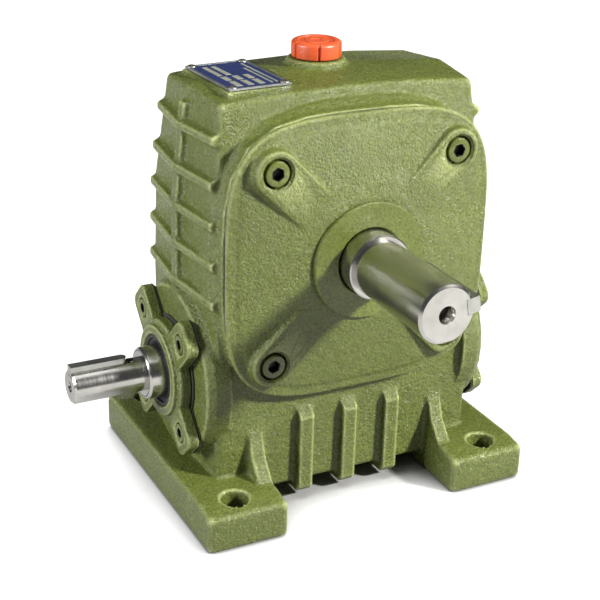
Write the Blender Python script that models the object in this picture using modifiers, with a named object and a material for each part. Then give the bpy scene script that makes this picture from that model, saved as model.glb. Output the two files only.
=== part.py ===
"""Single-reduction worm gearbox, 70 mm centre distance.

The worm lies under the wheel.  The input shaft leaves towards -X, the output
shaft towards -Y, and the gearbox stands on two foot bars at Z = 0.  Sizes are
in millimetres and are turned into metres where a shape is made.  They are
measured from the point on the floor under the crossing of the two axes; at the
end everything is moved so that the origin is the middle of the footprint of
the whole gearbox, shafts included.
"""

import math

import bpy
import bmesh
from mathutils import Matrix, Vector

MM = 0.001
GAP = 0.3                      # between pieces that touch
ROUND = 24                     # sides of a large round shape
BOSS_ROUND = 32                # sides of the flanges and bosses
SMALL_ROUND = 12               # sides of a screw or a hole
MERGE = 0.00001
CASTINGS = ("housing", "output_cover")

# ---- Driving dimensions -------------------------------------------------
CENTRE_DISTANCE = 70.0
WORM_HEIGHT = 70.0
WHEEL_HEIGHT = WORM_HEIGHT + CENTRE_DISTANCE
TEETH = 30
PITCH_RADIUS = 52.5
MODULE = 2 * PITCH_RADIUS / TEETH
LEAD = math.pi * MODULE
WORM_PITCH_RADIUS = CENTRE_DISTANCE - PITCH_RADIUS

INPUT_END = -140.5             # X of the input shaft's end face
OUTPUT_END = -132.0            # Y of the output shaft's end face
WORM_COVER_END = 93.0          # X of the closed worm cover's middle
REAR_COVER_END = 62.0          # Y of the closed rear cover's middle

# Foot bars
FOOT_SPAN = 190.0
FOOT_WIDTH = 45.0
FOOT_LENGTH = 151.0
FOOT_HEIGHT = 22.0
FOOT_TIP_HEIGHT = 20.0
BOLT_SPAN_X = 150.0
BOLT_SPAN_Y = 124.0
FOOT_HOLE_RADIUS = 7.5

# Housing
BELLY_HEIGHT = 9.5
HALF_WIDTH = 75.5
HALF_DEPTH = 42.0
FRONT_LEAN = 9.0               # how far the walls lean back at the roof
REAR_LEAN = 6.0
EAVES_HEIGHT = 219.5
ROOF_CROWN = 4.0
ROOF_RIDGE = 3.5
CAVITY_HALF_WIDTH = 66.0
CAVITY_HALF_DEPTH = 30.5
CAVITY_FLOOR = 20.0
CAVITY_ROOF = 206.0
SEAT_FACE = -45.5
SEAT_OPENING_RADIUS = 62.3
WORM_BOSS_RADIUS = 46.0
WORM_BOSS_FACE = 83.0
REAR_BOSS_RADIUS = 47.0
REAR_BOSS_FACE = 50.0
RIB_HEIGHTS = (121.0, 141.5, 162.0, 182.0, 203.5)
BELLY_RIB_PLACES = (-26.0, 0.0, 26.0)
PLUG_SEAT = 43.8
PLATE_SEAT = 224.6
CAP_PLACE = (0.0, 6.0)
CAP_SEAT_HEIGHT = 229.5

# Output cover
COVER_BACK = -46.9
COVER_HALF = 75.0
COVER_CORNER_POWER = 3.8
CONE_EDGE = -51.6
CONE_TOP = -57.1
PAD_FACE = -56.5
RING_FACE = -59.6
RING_RADIUS = 31.0
COVER_BOLT_OFFSET = 51.0
COVER_SEAL_FACE = -57.2

# Shafts
OUTPUT_RADIUS = 15.0
OUTPUT_SEAT_RADIUS = 17.2
OUTPUT_SHOULDER = -70.0
INPUT_RADIUS = 9.2
COLLAR_RADIUS = 14.0
COLLAR_END = -101.5
WORM_SEAT_RADIUS = 12.2
WORM_ROOT_RADIUS = 13.3
WORM_TIP_RADIUS = WORM_PITCH_RADIUS + MODULE
WORM_HALF_LENGTH = 30.0

# Bearings: outer radius, bore radius and width
OUTPUT_BEARING = (35.9, 17.5, 17.0)
WORM_BEARING = (25.9, 12.5, 15.0)
OUTPUT_BEARING_START = 29.0    # |Y| of the side nearest the wheel
ROLLERS = 9
WORM_BEARING_START = 64.7      # |X| of the side nearest the worm

# Worm covers
WORM_COVER_BACK = 84.2
EAR_FACE = 90.5
EAR_OFFSET = 25.5
STAR_DISC_RADIUS = 29.5
STAR_REACH = 47.0
STAR_ARM_HALF_WIDTH = 10.0

ALONG = {
    "X": Matrix.Rotation(math.radians(90), 4, "Y"),
    "-X": Matrix.Rotation(math.radians(-90), 4, "Y"),
    "Y": Matrix.Rotation(math.radians(-90), 4, "X"),
    "-Y": Matrix.Rotation(math.radians(90), 4, "X"),
    "Z": Matrix.Identity(4),
}


# ---- Scene, materials and general helpers ---------------------------------
def clear_scene():
    for old in list(bpy.data.objects):
        bpy.data.objects.remove(old, do_unlink=True)


def make_collection(name):
    group = bpy.data.collections.new(name)
    bpy.context.scene.collection.children.link(group)
    return group


def make_material(name, colour, roughness, metallic):
    material = bpy.data.materials.new(name)
    material.use_nodes = True
    shader = material.node_tree.nodes["Principled BSDF"]
    shader.inputs["Base Color"].default_value = (*colour, 1.0)
    shader.inputs["Roughness"].default_value = roughness
    shader.inputs["Metallic"].default_value = metallic
    return material


clear_scene()
PARTS = make_collection("worm_gearbox")
CUTTERS = make_collection("worm_gearbox_cutters")
PAINT = make_material("green_paint", (0.20, 0.24, 0.06), 0.5, 0.0)
STEEL = make_material("ground_steel", (0.55, 0.54, 0.50), 0.25, 1.0)
DARK_STEEL = make_material("black_steel", (0.06, 0.06, 0.06), 0.4, 0.8)
BRONZE = make_material("gear_bronze", (0.60, 0.36, 0.14), 0.35, 1.0)
IRON = make_material("bare_iron", (0.22, 0.22, 0.21), 0.5, 0.8)
RUBBER = make_material("seal_rubber", (0.03, 0.03, 0.03), 0.7, 0.0)
PAPER = make_material("gasket_paper", (0.05, 0.05, 0.04), 0.9, 0.0)
ORANGE = make_material("orange_plastic", (0.75, 0.09, 0.02), 0.4, 0.0)
PLATE = make_material("blue_plate", (0.05, 0.08, 0.30), 0.35, 0.4)


def place_object(name, mesh, material, group, matrix=None):
    thing = bpy.data.objects.new(name, mesh)
    group.objects.link(thing)
    if material:
        mesh.materials.append(material)
    if matrix is not None:
        thing.matrix_world = matrix
    if group is CUTTERS:
        thing.hide_render = True
        thing.display_type = "WIRE"
    return thing


def axis_matrix(axis, at=(0.0, 0.0, 0.0)):
    """A frame at a place in millimetres whose Z points along the named axis."""
    return Matrix.Translation(Vector(at) * MM) @ ALONG[axis]


def turned(name, profile, axis, at, material=None, sides=ROUND, closed=False):
    """Revolve (radius, height) points, listed from the top end downwards."""
    bm = bmesh.new()
    verts = [bm.verts.new((radius * MM, 0.0, height * MM)) for radius, height in profile]
    for first, second in zip(verts, verts[1:]):
        bm.edges.new((first, second))
    if closed:
        bm.edges.new((verts[-1], verts[0]))
    mesh = bpy.data.meshes.new(name)
    bm.to_mesh(mesh)
    bm.free()
    group = PARTS if material else CUTTERS
    thing = place_object(name, mesh, material, group, axis_matrix(axis, at))
    screw = thing.modifiers.new("turn", "SCREW")
    screw.steps = sides
    screw.render_steps = sides
    screw.use_merge_vertices = True
    screw.merge_threshold = MERGE
    screw.use_smooth_shade = False
    return thing


def stepped(steps):
    """Profile of a solid bar from (radius, top, bottom) steps, top step first."""
    profile = [(0.0, steps[0][1])]
    for radius, top, bottom in steps:
        profile += [(radius, top), (radius, bottom)]
    return profile + [(0.0, steps[-1][2])]


def ring(outer, inner, top, bottom):
    return [(outer, top), (outer, bottom), (inner, bottom), (inner, top)]


def bm_object(name, bm, material=None, matrix=None):
    bmesh.ops.recalc_face_normals(bm, faces=bm.faces)
    mesh = bpy.data.meshes.new(name)
    bm.to_mesh(mesh)
    bm.free()
    return place_object(name, mesh, material, PARTS if material else CUTTERS, matrix)


def add_box(bm, low, high):
    middle = (Vector(low) + Vector(high)) * 0.5 * MM
    size = (Vector(high) - Vector(low)) * MM
    matrix = Matrix.Translation(middle) @ Matrix.Diagonal((*size, 1.0))
    return bmesh.ops.create_cube(bm, size=1.0, matrix=matrix)["verts"]


def boxes(name, corners, material=None, matrix=None):
    bm = bmesh.new()
    for low, high in corners:
        add_box(bm, low, high)
    return bm_object(name, bm, material, matrix)


def rods(name, radius, ends, axis, places, material=None, sides=SMALL_ROUND):
    """One closed cylinder at each place, from ends[0] to ends[1] along the axis."""
    bm = bmesh.new()
    middle = (ends[0] + ends[1]) / 2
    for place in places:
        matrix = axis_matrix(axis, place) @ Matrix.Translation((0.0, 0.0, middle * MM))
        bmesh.ops.create_cone(
            bm, cap_ends=True, segments=sides, radius1=radius * MM, radius2=radius * MM,
            depth=abs(ends[1] - ends[0]) * MM, matrix=matrix)
    return bm_object(name, bm, material)


def add_loft(bm, sections):
    """Close a stack of equal-length rings of points with a cap at each end."""
    rows = [[bm.verts.new(Vector(point) * MM) for point in section] for section in sections]
    bm.faces.new(rows[0])
    bm.faces.new(rows[-1])
    count = len(rows[0])
    for below, above in zip(rows, rows[1:]):
        for i in range(count):
            j = (i + 1) % count
            bm.faces.new((below[i], below[j], above[j], above[i]))


def loft(name, sections, material=None, matrix=None):
    bm = bmesh.new()
    add_loft(bm, sections)
    return bm_object(name, bm, material, matrix)


def circle(radius, z, sides=SMALL_ROUND):
    angles = [2 * math.pi * i / sides for i in range(sides)]
    return [(radius * math.cos(a), radius * math.sin(a), z) for a in angles]


def combine(target, tool, operation):
    """Add a Boolean; the castings have too many crossing ribs for the exact solver."""
    modifier = target.modifiers.new(operation.lower(), "BOOLEAN")
    modifier.operation = operation
    modifier.solver = "MANIFOLD" if target.name in CASTINGS else "EXACT"
    modifier.object = tool


def join(target, *tools):
    for tool in tools:
        combine(target, tool, "UNION")


def cut(target, *tools):
    for tool in tools:
        combine(target, tool, "DIFFERENCE")


def bevel(thing, width, segments=2, angle=50.0):
    modifier = thing.modifiers.new("bevel", "BEVEL")
    modifier.width = width * MM
    modifier.segments = segments
    modifier.limit_method = "ANGLE"
    modifier.angle_limit = math.radians(angle)
    modifier.use_clamp_overlap = True


def squircle(half, power, y, count=32):
    """Points of a rounded square in the XZ plane, centred on the output axis."""
    points = []
    for i in range(count):
        angle = 2 * math.pi * i / count
        x = math.cos(angle)
        z = math.sin(angle)
        radius = half / (abs(x) ** power + abs(z) ** power) ** (1 / power)
        points.append((radius * x, y, WHEEL_HEIGHT + radius * z))
    return points


def corners_of(offset_a, offset_b):
    return [(a * offset_a, b * offset_b) for a in (-1, 1) for b in (-1, 1)]


# ---- Housing -------------------------------------------------------------
def wall_half_width(z):
    swell = 1.5 * math.sin(math.pi * max(0.0, min(1.0, (z - 20.0) / 200.0)))
    lean = 4.5 * max(0.0, (z - 165.0) / 55.0) ** 2
    return HALF_WIDTH + swell - lean


def wall_half_depth(z, end):
    """Distance of the front wall (end -1) or the rear wall (end 1) from the middle plane."""
    swell = 0.8 * math.sin(math.pi * max(0.0, min(1.0, (z - 5.0) / 200.0)))
    lean = REAR_LEAN if end > 0 else FRONT_LEAN
    return HALF_DEPTH + swell - lean * max(0.0, (z - 120.0) / 100.0) ** 1.5


def gable(y, z):
    return 2.5 * (1.0 - min(1.0, abs(y) / wall_half_depth(z, y)))


def roof_height(x, y):
    crown = ROOF_CROWN * (1.0 - (x / HALF_WIDTH) ** 2)
    ridge = ROOF_RIDGE * (1.0 - abs(y) / HALF_DEPTH)
    return EAVES_HEIGHT + crown + ridge


def housing_body():
    """A box with drafted, slightly swollen walls and a crowned gable roof."""
    bm = bmesh.new()
    bmesh.ops.create_cube(bm, size=2.0)
    bmesh.ops.subdivide_edges(bm, edges=bm.edges[:], cuts=3, use_grid_fill=True)
    for vert in bm.verts:
        across, along, up = vert.co
        level = (up + 1.0) / 2
        z = BELLY_HEIGHT + level * (EAVES_HEIGHT - BELLY_HEIGHT)
        y = along * wall_half_depth(z, along)
        x = across * (wall_half_width(z) + gable(y, z))
        rise = roof_height(x, y) - EAVES_HEIGHT
        vert.co = Vector((x, y, z + rise * level ** 4)) * MM
    body = bm_object("housing", bm, PAINT)
    bevel(body, 2.5)
    return body


def foot_bar(side):
    """A bar with lowered ends, given as its outline along Y."""
    half = FOOT_LENGTH / 2
    slope = half - 13.0
    outline = [(-half, 0.0), (half, 0.0), (half, FOOT_TIP_HEIGHT), (slope, FOOT_HEIGHT),
               (-slope, FOOT_HEIGHT), (-half, FOOT_TIP_HEIGHT)]
    outer = side * FOOT_SPAN / 2
    inner = side * (FOOT_SPAN / 2 - FOOT_WIDTH)
    bar = loft("foot_bar", [[(x, y, z) for y, z in outline] for x in (inner, outer)])
    bevel(bar, 2.5)
    return bar


def side_ribs(side):
    """Cast ribs across a side wall that follow its gable and fade towards its ends."""
    ribs = []
    for height in RIB_HEIGHTS:
        front = 0.5 - wall_half_depth(height, -1)
        rear = wall_half_depth(height, 1) - 0.5
        sections = []
        for y, proud in ((front, 2.4), (0.0, 4.4), (rear, 2.4)):
            wall = wall_half_width(height) + gable(y, height)
            profile = ((wall - 5.0, -5.4), (wall + proud, -1.9), (wall + proud, 1.9), (wall - 5.0, 5.4))
            sections.append([(side * x, y, height + dz) for x, dz in profile])
        ribs.append(loft("side_rib", sections))
    return ribs


def middle_rib(side):
    """The upright rib on the parting line of a side wall."""
    sections = []
    for z in (113.0, 165.0, 215.0):
        wall = wall_half_width(z) + gable(0.0, z)
        profile = ((wall - 5.0, -5.0), (wall + 3.2, -3.5), (wall + 3.2, 3.5), (wall - 5.0, 5.0))
        sections.append([(side * x, y, z) for x, y in profile])
    return loft("middle_rib", sections)


def belly_ribs():
    outline = [(-47.0, 8.0), (-44.0, 4.5), (44.0, 4.5), (47.0, 8.0), (47.0, 50.0),
               (41.0, 58.0), (-41.0, 58.0), (-47.0, 50.0)]
    ribs = []
    for middle in BELLY_RIB_PLACES:
        sides = (middle - 4.5, middle + 4.5)
        ribs.append(loft("belly_rib", [[(x, y, z) for y, z in outline] for x in sides]))
    return ribs


def gusset(side, end):
    """A web with a hollow edge between the wall and a foot's inner edge."""
    hollow = []
    for i in range(5):
        angle = math.radians(90.0 * i / 4)
        hollow.append((68.2 - 27.6 * math.sin(angle), 64.7 - 46.2 * math.cos(angle)))
    outline = [(35.3, 64.7), (35.3, 12.3), (68.2, 12.3)] + hollow
    inner = FOOT_SPAN / 2 - FOOT_WIDTH + 0.7
    sides = (inner, inner + 8.0)
    return loft("gusset", [[(side * x, end * y, z) for y, z in outline] for x in sides])


def seat_boss():
    """The rounded-square flange that carries the output cover."""
    sections = [squircle(78.5, 3.0, -25.0), squircle(78.5, 3.0, -36.0),
                squircle(76.0, 3.3, -40.0), squircle(75.2, 3.6, SEAT_FACE)]
    return loft("seat_boss", sections)


def worm_bosses():
    """The two round flanges at the ends of the worm bore, in one mesh."""
    bm = bmesh.new()
    profile = [(WORM_BOSS_RADIUS - 1.0, WORM_BOSS_FACE), (WORM_BOSS_RADIUS + 1.5, WORM_BOSS_FACE - 4.0),
               (WORM_BOSS_RADIUS + 1.5, CAVITY_HALF_WIDTH + 3.3)]
    for side in (-1, 1):
        rings = []
        for radius, x in profile:
            points = circle(radius, 0.0, BOSS_ROUND)
            rings.append([(side * x, y, WORM_HEIGHT + z) for y, z, _ in points])
        add_loft(bm, rings)
    return bm_object("worm_bosses", bm)


def cap_boss():
    profile = [(0.0, CAP_SEAT_HEIGHT), (14.5, CAP_SEAT_HEIGHT), (15.8, CAP_SEAT_HEIGHT - 1.2),
               (16.2, CAP_SEAT_HEIGHT - 3.0), (19.5, CAP_SEAT_HEIGHT - 6.5),
               (19.5, CAP_SEAT_HEIGHT - 14.0), (0.0, CAP_SEAT_HEIGHT - 14.0)]
    return turned("cap_boss", profile, "Z", (*CAP_PLACE, 0.0), sides=24)


def nameplate_matrix():
    return Matrix.Translation(Vector((-47.0, 0.5, 0.0)) * MM) @ Matrix.Rotation(math.radians(3.0), 4, "Z")


def make_housing():
    housing = housing_body()
    join(housing, seat_boss())
    rear_boss = turned("rear_boss", stepped([(REAR_BOSS_RADIUS, REAR_BOSS_FACE, 30.0)]), "Y",
                       (0.0, 0.0, WHEEL_HEIGHT), sides=BOSS_ROUND)
    join(housing, rear_boss, worm_bosses(), cap_boss())
    for side in (-1, 1):
        join(housing, foot_bar(side), *side_ribs(side), middle_rib(side))
        join(housing, gusset(side, -1), gusset(side, 1))
    join(housing, *belly_ribs())
    plate_pad = boxes("plate_pad", [((-18.5, -26.5, 215.0), (18.5, 26.5, PLATE_SEAT + 1.0))],
                      matrix=nameplate_matrix())
    plate_flat = boxes("plate_flat", [((-19.0, -27.0, PLATE_SEAT), (19.0, 27.0, 235.0))],
                       matrix=nameplate_matrix())
    plug_bosses = rods("plug_bosses", 9.1, (37.0, PLUG_SEAT), "Y", PLUG_PLACES, sides=16)
    join(housing, plate_pad, plug_bosses)
    cut(housing, plate_flat)

    sections = []
    for z, draft in ((CAVITY_FLOOR, (1.5, 0.0)), (CAVITY_ROOF, (0.0, 4.5))):
        x = CAVITY_HALF_WIDTH - draft[0]
        y = CAVITY_HALF_DEPTH - draft[1]
        sections.append([(-x, -y, z), (x, -y, z), (x, y, z), (-x, y, z)])
    cavity = loft("cavity", sections)
    bevel(cavity, 8.0)
    seat_opening = rods("seat_opening", SEAT_OPENING_RADIUS, (-60.0, -25.0), "Y",
                        [(0.0, 0.0, WHEEL_HEIGHT)], sides=BOSS_ROUND)
    rear_bore = rods("rear_bore", OUTPUT_BEARING[0] + GAP, (25.0, 60.0), "Y",
                     [(0.0, 0.0, WHEEL_HEIGHT)], sides=ROUND)
    worm_bore = rods("worm_bore", WORM_BEARING[0] + GAP, (-95.0, 95.0), "X",
                     [(0.0, 0.0, WORM_HEIGHT)], sides=ROUND)
    cut(housing, cavity, seat_opening, rear_bore, worm_bore)

    foot_holes = rods("foot_holes", FOOT_HOLE_RADIUS, (-5.0, 25.0), "Z",
                      [(x, y, 0.0) for x, y in corners_of(BOLT_SPAN_X / 2, BOLT_SPAN_Y / 2)], sides=12)
    cover_holes = rods("cover_screw_holes", 4.3, (-50.0, -34.0), "Y",
                       [(x, 0.0, WHEEL_HEIGHT + z) for x, z in
                        corners_of(COVER_BOLT_OFFSET, COVER_BOLT_OFFSET)])
    ear_places = [(0.0, y, WORM_HEIGHT + z) for y, z in corners_of(EAR_OFFSET, EAR_OFFSET)]
    left_holes = rods("left_screw_holes", 3.3, (-90.0, -69.0), "X", ear_places)
    right_holes = rods("right_screw_holes", 3.3, (69.0, 90.0), "X", ear_places)
    rear_holes = rods("rear_screw_holes", 3.3, (35.0, 60.0), "Y",
                      [(x, 0.0, WHEEL_HEIGHT + z) for x, z in corners_of(29.0, 29.0)])
    cap_hole = rods("cap_hole", 6.4, (200.0, 240.0), "Z", [(*CAP_PLACE, 0.0)])
    plug_holes = rods("plug_holes", 6.0, (25.0, 60.0), "Y", PLUG_PLACES)
    rivet_holes = rods("rivet_holes", 1.5, (PLATE_SEAT - 4.5, 232.0), "Z", RIVET_PLACES, sides=8)
    cut(housing, rivet_holes, cap_hole, foot_holes, cover_holes, left_holes, right_holes,
        rear_holes, plug_holes)


PLUG_PLACES = [(40.8, 0.0, 36.0), (-52.0, 0.0, 86.0)]
RIVET_PLACES = [tuple((nameplate_matrix() @ Vector((x * MM, y * MM, 0.0))) / MM)
                for x, y in corners_of(14.5, 22.5)]


# ---- Output cover ---------------------------------------------------------
def cover_pad(place):
    """A U-shaped flat that runs from a bolt corner into the cover's cone."""
    inner = 46.0
    reach = math.hypot(COVER_BOLT_OFFSET, COVER_BOLT_OFFSET)
    turn = Matrix.Rotation(math.atan2(place[1], place[0]), 3, "Y")
    sections = []
    for y, radius in ((-48.5, 12.6), (PAD_FACE, 11.3)):
        points = [(inner - 8.0, -radius), (inner - 8.0, radius)]
        for i in range(9):
            angle = math.radians(90.0 - 180.0 * i / 8)
            points.append((reach + radius * math.cos(angle), radius * math.sin(angle)))
        section = []
        for along, across in points:
            spot = turn.inverted() @ Vector((along, 0.0, across))
            section.append((spot.x, y, WHEEL_HEIGHT + spot.z))
        sections.append(section)
    return loft("cover_pad", sections)


def make_output_cover():
    sections = [squircle(COVER_HALF, COVER_CORNER_POWER, COVER_BACK),
                squircle(COVER_HALF, COVER_CORNER_POWER, CONE_EDGE + 2.3),
                squircle(COVER_HALF - 0.9, COVER_CORNER_POWER, CONE_EDGE + 1.4),
                squircle(COVER_HALF - 5.0, COVER_CORNER_POWER, CONE_EDGE + 1.2),
                squircle(COVER_HALF - 7.0, COVER_CORNER_POWER, CONE_EDGE),
                squircle(33.0, 2.0, CONE_TOP)]
    cover = loft("output_cover", sections, PAINT)
    for place in corners_of(1, 1):
        join(cover, cover_pad(place))
    axis_place = (0.0, 0.0, WHEEL_HEIGHT)
    raised_ring = turned("raised_ring", [(0.0, -54.0), (RING_RADIUS, -54.0),
                                         (RING_RADIUS, RING_FACE + 0.9),
                                         (RING_RADIUS - 0.9, RING_FACE), (0.0, RING_FACE)],
                         "Y", axis_place, sides=BOSS_ROUND)
    spigot = turned("cover_spigot", ring(SEAT_OPENING_RADIUS - 0.5, 54.0, -41.0, COVER_BACK - 2.0),
                    "Y", axis_place, sides=BOSS_ROUND, closed=True)
    hub = rods("cover_hub", 44.0, (-50.0, -28.5), "Y", [axis_place], sides=ROUND)
    join(cover, raised_ring, spigot, hub)
    shaft_hole = rods("cover_shaft_hole", 17.6, (-65.0, -25.0), "Y", [axis_place], sides=ROUND)
    seal_pocket = rods("cover_seal_pocket", 25.3, (COVER_SEAL_FACE, -25.0), "Y", [axis_place],
                       sides=ROUND)
    bearing_pocket = rods("cover_bearing_pocket", OUTPUT_BEARING[0] + GAP, (-46.5, -25.0), "Y",
                          [axis_place], sides=ROUND)
    places = [(x, 0.0, WHEEL_HEIGHT + z) for x, z in corners_of(COVER_BOLT_OFFSET, COVER_BOLT_OFFSET)]
    screw_holes = rods("cover_through_holes", 4.3, (-60.0, -40.0), "Y", places)
    counterbores = rods("cover_counterbores", 7.8, (-65.0, -49.8), "Y", places, sides=16)
    cut(cover, shaft_hole, seal_pocket, bearing_pocket, screw_holes, counterbores)


def make_output_gasket():
    gasket = loft("output_gasket", [squircle(74.6, 3.7, SEAT_FACE - GAP),
                                    squircle(74.6, 3.7, COVER_BACK + GAP)], PAPER)
    opening = rods("gasket_opening", SEAT_OPENING_RADIUS, (-50.0, -40.0), "Y",
                   [(0.0, 0.0, WHEEL_HEIGHT)], sides=BOSS_ROUND)
    holes = rods("gasket_holes", 4.6, (-50.0, -40.0), "Y",
                 [(x, 0.0, WHEEL_HEIGHT + z) for x, z in
                  corners_of(COVER_BOLT_OFFSET, COVER_BOLT_OFFSET)], sides=8)
    cut(gasket, opening, holes)


# ---- Worm covers ----------------------------------------------------------
def star_outline():
    """Outline of a disc with four arms, as (y, z) about the worm axis."""
    spread = math.asin(STAR_ARM_HALF_WIDTH / STAR_DISC_RADIUS)
    points = []
    for arm in range(4):
        angle = math.radians(45.0 + 90.0 * arm)
        out = Vector((math.cos(angle), math.sin(angle)))
        across = Vector((-out.y, out.x))
        start = angle - spread
        points.append(Vector((math.cos(start), math.sin(start))) * STAR_DISC_RADIUS)
        for along, aside in ((-4.0, -1.0), (0.0, -0.55), (0.0, 0.55), (-4.0, 1.0)):
            points.append(out * (STAR_REACH + along) + across * aside * STAR_ARM_HALF_WIDTH)
        finish = angle + spread
        arc = math.radians(90.0) - 2 * spread
        points.append(Vector((math.cos(finish), math.sin(finish))) * STAR_DISC_RADIUS)
        for i in (1, 2):
            between = finish + arc * i / 3
            points.append(Vector((math.cos(between), math.sin(between))) * STAR_DISC_RADIUS)
    return points


def star_plate(name, start, end, material=None):
    outline = star_outline()
    return loft(name, [[(x, point.x, WORM_HEIGHT + point.y) for point in outline]
                       for x in (start, end)], material)


def make_worm_cover(name, side, open_middle):
    cover = star_plate(name, side * WORM_COVER_BACK, side * EAR_FACE, PAINT)
    axis_place = (0.0, 0.0, WORM_HEIGHT)
    flip = 1.0 if side > 0 else -1.0
    disc = rods(name + "_disc", 24.5, (flip * 86.0, flip * WORM_COVER_END), "X", [axis_place],
                sides=ROUND)
    spigot = rods(name + "_spigot", WORM_BEARING[0] - 0.2, (flip * 80.0, flip * 86.0), "X",
                  [axis_place], sides=ROUND)
    join(cover, disc, spigot)
    hollow = rods(name + "_hollow", 20.5, (flip * 70.0, flip * 84.5), "X", [axis_place], sides=24)
    cut(cover, hollow)
    if open_middle:
        passage = rods(name + "_passage", 16.5, (flip * 70.0, flip * 100.0), "X", [axis_place],
                       sides=24)
        seal_seat = rods(name + "_seal_seat", 19.3, (flip * 86.0, flip * 100.0), "X",
                         [axis_place], sides=24)
        cut(cover, passage, seal_seat)
    places = [(0.0, y, WORM_HEIGHT + z) for y, z in corners_of(EAR_OFFSET, EAR_OFFSET)]
    holes = rods(name + "_holes", 3.3, (flip * 80.0, flip * 95.0), "X", places)
    sinks = rods(name + "_sinks", 5.6, (flip * 87.0, flip * 95.0), "X", places)
    cut(cover, holes, sinks)


def make_worm_gasket(name, side):
    gasket = star_plate(name, side * (WORM_BOSS_FACE + GAP), side * (WORM_COVER_BACK - GAP), PAPER)
    flip = 1.0 if side > 0 else -1.0
    opening = rods(name + "_opening", WORM_BEARING[0] + GAP, (flip * 80.0, flip * 90.0), "X",
                   [(0.0, 0.0, WORM_HEIGHT)], sides=24)
    cut(gasket, opening)
    places = [(0.0, y, WORM_HEIGHT + z) for y, z in corners_of(EAR_OFFSET, EAR_OFFSET)]
    cut(gasket, rods(name + "_holes", 3.5, (flip * 80.0, flip * 90.0), "X", places, sides=8))


# ---- Rear cover -----------------------------------------------------------
def make_rear_cover():
    axis_place = (0.0, 0.0, WHEEL_HEIGHT)
    profile = [(0.0, REAR_COVER_END), (25.0, REAR_COVER_END), (28.0, 58.5), (46.0, 58.0),
               (46.0, 51.4), (35.6, 51.4), (35.6, 46.5), (30.0, 46.5), (30.0, 53.0), (0.0, 53.0)]
    cover = turned("rear_cover", profile, "Y", axis_place, PAINT)
    places = [(x, 0.0, WHEEL_HEIGHT + z) for x, z in corners_of(29.0, 29.0)]
    cut(cover, rods("rear_cover_holes", 3.3, (45.0, 65.0), "Y", places),
        rods("rear_cover_sinks", 5.6, (55.5, 65.0), "Y", places))
    gasket = turned("rear_gasket", ring(45.6, 36.2, 51.1, 50.3), "Y", axis_place, PAPER, closed=True)
    cut(gasket, rods("rear_gasket_holes", 3.5, (45.0, 65.0), "Y", places, sides=8))


# ---- Screws, plugs, plate and cap ------------------------------------------
def hexagon(radius, z):
    """A hexagon with a point at each corner and at the middle of each side."""
    points = []
    for i in range(SMALL_ROUND):
        angle = 2 * math.pi * i / SMALL_ROUND
        reach = radius if i % 2 == 0 else radius * math.cos(math.pi / 6)
        points.append((reach * math.cos(angle), reach * math.sin(angle), z))
    return points


def screw_mesh(name, head_radius, head_height, shank_radius, length, socket_radius):
    """A socket-head screw whose head faces +Z, with its top at the origin."""
    sections = [hexagon(socket_radius, -head_height * 0.6), hexagon(socket_radius, 0.0),
                circle(head_radius, 0.0), circle(head_radius, -head_height),
                circle(shank_radius, -head_height), circle(shank_radius, -head_height - length)]
    pattern = loft(name, sections)
    mesh = pattern.data
    bpy.data.objects.remove(pattern)
    mesh.materials.append(DARK_STEEL)
    return mesh


def screw_ring(name, mesh, axis, places):
    for number, place in enumerate(places, 1):
        place_object(f"{name}_{number}", mesh, None, PARTS, axis_matrix(axis, place))


def make_screws():
    big = screw_mesh("screw_m8", 6.5, 6.2, 3.9, 15.0, 3.2)
    small = screw_mesh("screw_m6", 5.0, 3.2, 2.9, 16.0, 2.6)
    offset = COVER_BOLT_OFFSET
    screw_ring("output_cover_screw", big, "-Y",
               [(x, PAD_FACE + 0.4, WHEEL_HEIGHT + z) for x, z in corners_of(offset, offset)])
    ears = corners_of(EAR_OFFSET, EAR_OFFSET)
    screw_ring("input_cover_screw", small, "-X",
               [(-EAR_FACE, y, WORM_HEIGHT + z) for y, z in ears])
    screw_ring("worm_end_cover_screw", small, "X",
               [(EAR_FACE, y, WORM_HEIGHT + z) for y, z in ears])
    screw_ring("rear_cover_screw", small, "Y",
               [(x, 59.0, WHEEL_HEIGHT + z) for x, z in corners_of(29.0, 29.0)])


def make_plugs():
    for name, place in zip(("drain_plug", "level_plug"), PLUG_PLACES):
        sections = [hexagon(6.5, 6.5), hexagon(8.0, 5.5), hexagon(8.0, 0.3), circle(5.7, 0.3),
                    circle(5.7, -9.0)]
        loft(name, sections, DARK_STEEL, axis_matrix("Y", (place[0], PLUG_SEAT, place[2])))


def make_breather_cap():
    profile = [(0.0, 238.5), (11.6, 238.5), (13.1, 237.0), (13.1, 231.0), (12.0, 229.8),
               (6.1, 229.8), (6.1, 219.0), (0.0, 219.0)]
    turned("breather_cap", profile, "Z", (*CAP_PLACE, 0.0), ORANGE, sides=28)


def make_nameplate():
    plate = boxes("nameplate", [((-17.0, -25.0, PLATE_SEAT + GAP), (17.0, 25.0, PLATE_SEAT + 1.3))], PLATE,
                  nameplate_matrix())
    cut(plate, rods("nameplate_holes", 1.6, (220.0, 230.0), "Z", RIVET_PLACES, sides=8))
    head = PLATE_SEAT + 1.6
    sections = [circle(1.6, head + 0.7, 8), circle(2.4, head, 8), circle(1.2, head, 8),
                circle(1.2, PLATE_SEAT - 4.0, 8)]
    for number, place in enumerate(RIVET_PLACES, 1):
        loft(f"nameplate_rivet_{number}", sections, STEEL, Matrix.Translation(Vector(place) * MM))


# ---- Shafts, keys and wheel -------------------------------------------------
def output_key_matrix():
    height = Matrix.Translation((0.0, 0.0, WHEEL_HEIGHT * MM))
    return height @ Matrix.Rotation(math.radians(-10.0), 4, "Y")


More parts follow.
